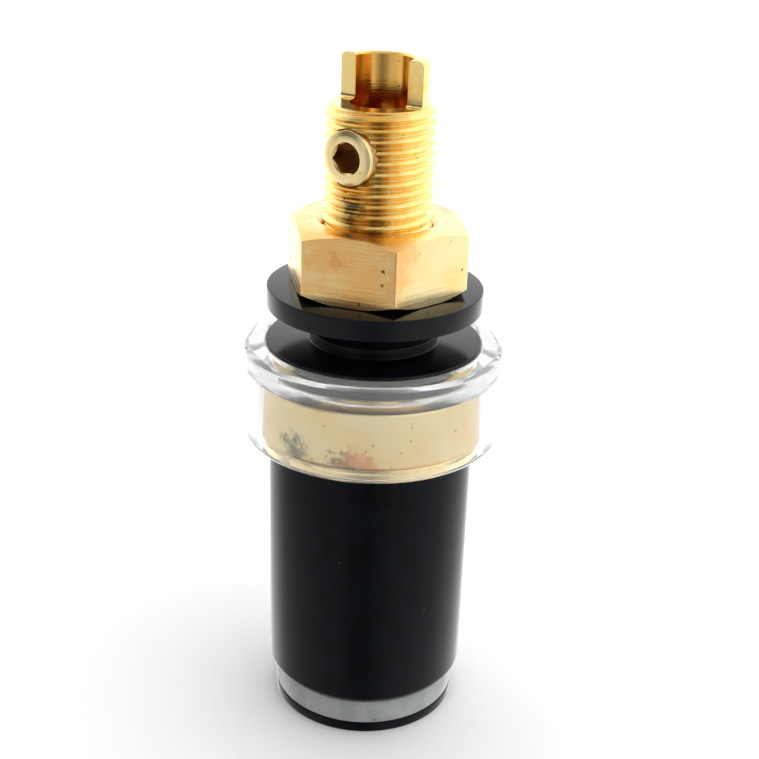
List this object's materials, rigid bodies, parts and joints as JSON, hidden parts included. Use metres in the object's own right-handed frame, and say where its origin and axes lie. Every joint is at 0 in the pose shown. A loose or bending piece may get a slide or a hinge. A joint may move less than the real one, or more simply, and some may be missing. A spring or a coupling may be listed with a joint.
{
  "type": "binding post",
  "caption": "Panel binding post with a screw-down insulated knob, clear guard ring, mounting nut and a threaded tail with a solder cup.",
  "frame": {"origin": "centre of the end cap's outer face, the end of the knob that the post stands on", "axes": "+Z along the post from the knob's end to the solder cup; -Y is the side that the tail's clamping screw and the cup's open side face"},
  "size_m": [0.0192, 0.0192, 0.051],
  "materials": {
    "gold_plate": "gold plate over turned brass, polished, with fine lathe lines and a few tarnish specks",
    "black_plastic": "glossy",
    "clear_plastic": "polished, see-through",
    "white_plastic": "satin, slightly milky"
  },
  "bodies": {
    "post": {"terminal_post": "gold_plate", "front_insulator": "black_plastic", "clear_ring": "clear_plastic"},
    "tail_screw": {"wire_screw": "gold_plate"},
    "rear_washer": {"rear_washer": "black_plastic"},
    "nut": {"hex_nut": "gold_plate"},
    "clamp": {"clamp_washer": "gold_plate"},
    "knob": {"knob_shell": "black_plastic", "knob_insert": "gold_plate", "end_ring": "white_plastic", "end_cap": "black_plastic"}
  },
  "joints": [
    {"name": "clamp_slide", "type": "slide", "parent": "post", "child": "clamp", "axis": [0, 0, -1], "range_m": [0, 0.006]},
    {"name": "knob_turn", "type": "hinge", "parent": "clamp", "child": "knob", "pos_m": [0, 0, 0], "axis": [0, 0, -1], "range_deg": [0, 2880]},
    {"name": "rear_slide", "type": "slide", "parent": "post", "child": "rear_washer", "axis": [0, 0, 1], "range_m": [0, 0.00225]},
    {"name": "nut_turn", "type": "hinge", "parent": "rear_washer", "child": "nut", "pos_m": [0, 0, 0], "axis": [0, 0, 1], "range_deg": [0, 1080]},
    {"name": "screw_slide", "type": "slide", "parent": "post", "child": "tail_screw", "axis": [0, 1, 0], "range_m": [-0.0011, 0.0013]}
  ],
  "couplings": [
    {"joint": "knob_turn", "follows": "clamp_slide", "rad_per_m": 8377.6},
    {"joint": "nut_turn", "follows": "rear_slide", "rad_per_m": 8377.6}
  ]
}
